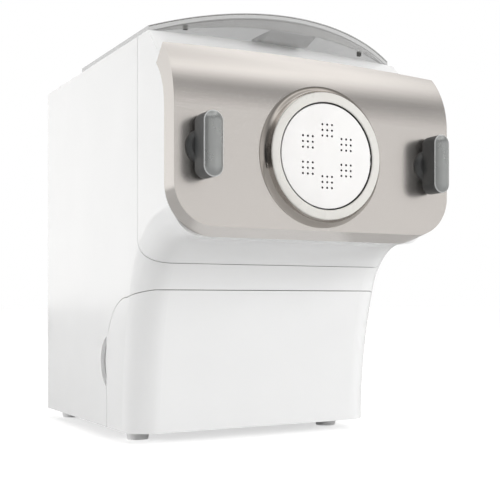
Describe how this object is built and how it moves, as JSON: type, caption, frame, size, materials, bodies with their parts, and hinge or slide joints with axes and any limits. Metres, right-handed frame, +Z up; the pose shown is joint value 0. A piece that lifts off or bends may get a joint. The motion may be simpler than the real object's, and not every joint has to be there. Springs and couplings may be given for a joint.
{
  "type": "electric pasta maker",
  "caption": "Upright electric pasta maker: white body with a drawer, brushed front panel with shaping disc, locking knobs, and an arched see-through lid over a mixing bowl.",
  "frame": {"origin": "on the table surface under the middle of the machine's overall length and width", "axes": "+Z up, -Y towards the front with the shaping disc, +X to the right as seen from the front"},
  "size_m": [0.214, 0.32, 0.302],
  "materials": {
    "shell_white": "gloss white moulded plastic",
    "inner_white": "satin white moulded plastic",
    "panel_metal": "horizontally brushed champagne metal",
    "panel_dark": "dark grey moulded plastic",
    "ring_pale": "satin pale champagne plastic",
    "disc_white": "near-white food-grade plastic",
    "knob_grey": "satin dark grey plastic",
    "lid_smoke": "smoke grey translucent plastic",
    "foot_grey": "pale grey rubber",
    "bowl_clear": "translucent grey plastic",
    "steel": "machined steel",
    "gear_nylon": "natural nylon",
    "case_grey": "grey moulded plastic",
    "motor_steel": "zinc-plated steel",
    "bearing_bronze": "sintered bronze",
    "seal_rubber": "black rubber",
    "control_black": "gloss black plastic",
    "window_dark": "dark display window",
    "button_grey": "satin light grey plastic",
    "board_green": "circuit board laminate"
  },
  "bodies": {
    "base": {"main_housing": "shell_white", "front_fascia": "shell_white", "base_plate": "inner_white", "rear_left_foot": "foot_grey", "rear_right_foot": "foot_grey", "front_left_foot": "foot_grey", "front_right_foot": "foot_grey", "chassis": "case_grey", "front_panel": "panel_metal", "panel_carrier": "panel_dark", "pressure_ring": "ring_pale", "shaping_disc": "disc_white", "extrusion_tube": "bowl_clear", "mixing_bowl": "bowl_clear", "shaft_seal": "seal_rubber", "rear_bearing": "bearing_bronze", "front_bearing": "bearing_bronze", "idler_pin": "steel", "gear_case_cover": "case_grey", "gear_case": "case_grey", "motor_can": "motor_steel", "left_bayonet_socket": "case_grey", "right_bayonet_socket": "case_grey", "lid_hinge_brackets": "inner_white", "lid_hinge_pins": "steel", "control_panel": "control_black", "display_window": "window_dark", "control_board": "board_green", "cord_gland": "seal_rubber", "gear_case_screws": "steel", "base_screws": "steel", "lid_switch": "control_black"},
    "lid": {"lid": "lid_smoke", "lid_grip": "lid_smoke"},
    "left_knob": {"left_knob": "knob_grey", "left_knob_spindle": "steel"},
    "right_knob": {"right_knob": "knob_grey", "right_knob_spindle": "steel"},
    "drawer": {"drawer_front": "shell_white", "drawer_tray": "inner_white"},
    "drive": {"drive_shaft": "steel", "mixing_paddle": "inner_white", "auger": "inner_white", "output_gear": "gear_nylon"},
    "idler": {"idler_gear": "gear_nylon"},
    "rotor": {"motor_rotor": "steel", "motor_pinion": "steel", "cooling_fan": "control_black"},
    "power_button": {"power_button": "button_grey"},
    "program_button": {"program_button": "button_grey"},
    "amount_button": {"amount_button": "button_grey"},
    "time_button": {"time_button": "button_grey"},
    "start_button": {"start_button": "button_grey"}
  },
  "joints": [
    {"name": "lid_hinge", "type": "hinge", "parent": "base", "child": "lid", "pos_m": [0, 0.066, 0.29], "axis": [-1, 0, 0], "range_deg": [0, 95]},
    {"name": "left_knob_turn", "type": "hinge", "parent": "base", "child": "left_knob", "pos_m": [-0.0883, -0.15, 0.1984], "axis": [0, -1, 0], "range_deg": [0, 90]},
    {"name": "right_knob_turn", "type": "hinge", "parent": "base", "child": "right_knob", "pos_m": [0.0883, -0.15, 0.1984], "axis": [0, 1, 0], "range_deg": [0, 90]},
    {"name": "drawer_slide", "type": "slide", "parent": "base", "child": "drawer", "axis": [0, -1, 0], "range_m": [0, 0.09]},
    {"name": "drive_spin", "type": "hinge", "parent": "base", "child": "drive", "pos_m": [0, 0, 0.1984], "axis": [0, -1, 0], "continuous": true},
    {"name": "idler_spin", "type": "hinge", "parent": "base", "child": "idler", "pos_m": [0, 0.075, 0.1444], "axis": [0, -1, 0], "continuous": true},
    {"name": "rotor_spin", "type": "hinge", "parent": "base", "child": "rotor", "pos_m": [0, 0.11, 0.1144], "axis": [0, -1, 0], "continuous": true},
    {"name": "power_button_press", "type": "slide", "parent": "base", "child": "power_button", "axis": [0, 0, -1], "range_m": [0, 0.001], "stiffness_N_per_m": 400, "springref_m": -0.001},
    {"name": "program_button_press", "type": "slide", "parent": "base", "child": "program_button", "axis": [0, 0, -1], "range_m": [0, 0.001], "stiffness_N_per_m": 400, "springref_m": -0.001},
    {"name": "amount_button_press", "type": "slide", "parent": "base", "child": "amount_button", "axis": [0, 0, -1], "range_m": [0, 0.001], "stiffness_N_per_m": 400, "springref_m": -0.001},
    {"name": "time_button_press", "type": "slide", "parent": "base", "child": "time_button", "axis": [0, 0, -1], "range_m": [0, 0.001], "stiffness_N_per_m": 400, "springref_m": -0.001},
    {"name": "start_button_press", "type": "slide", "parent": "base", "child": "start_button", "axis": [0, 0, -1], "range_m": [0, 0.001], "stiffness_N_per_m": 400, "springref_m": -0.001}
  ],
  "couplings": [
    {"joint": "idler_spin", "follows": "drive_spin", "ratio": -5},
    {"joint": "rotor_spin", "follows": "drive_spin", "ratio": 20}
  ]
}
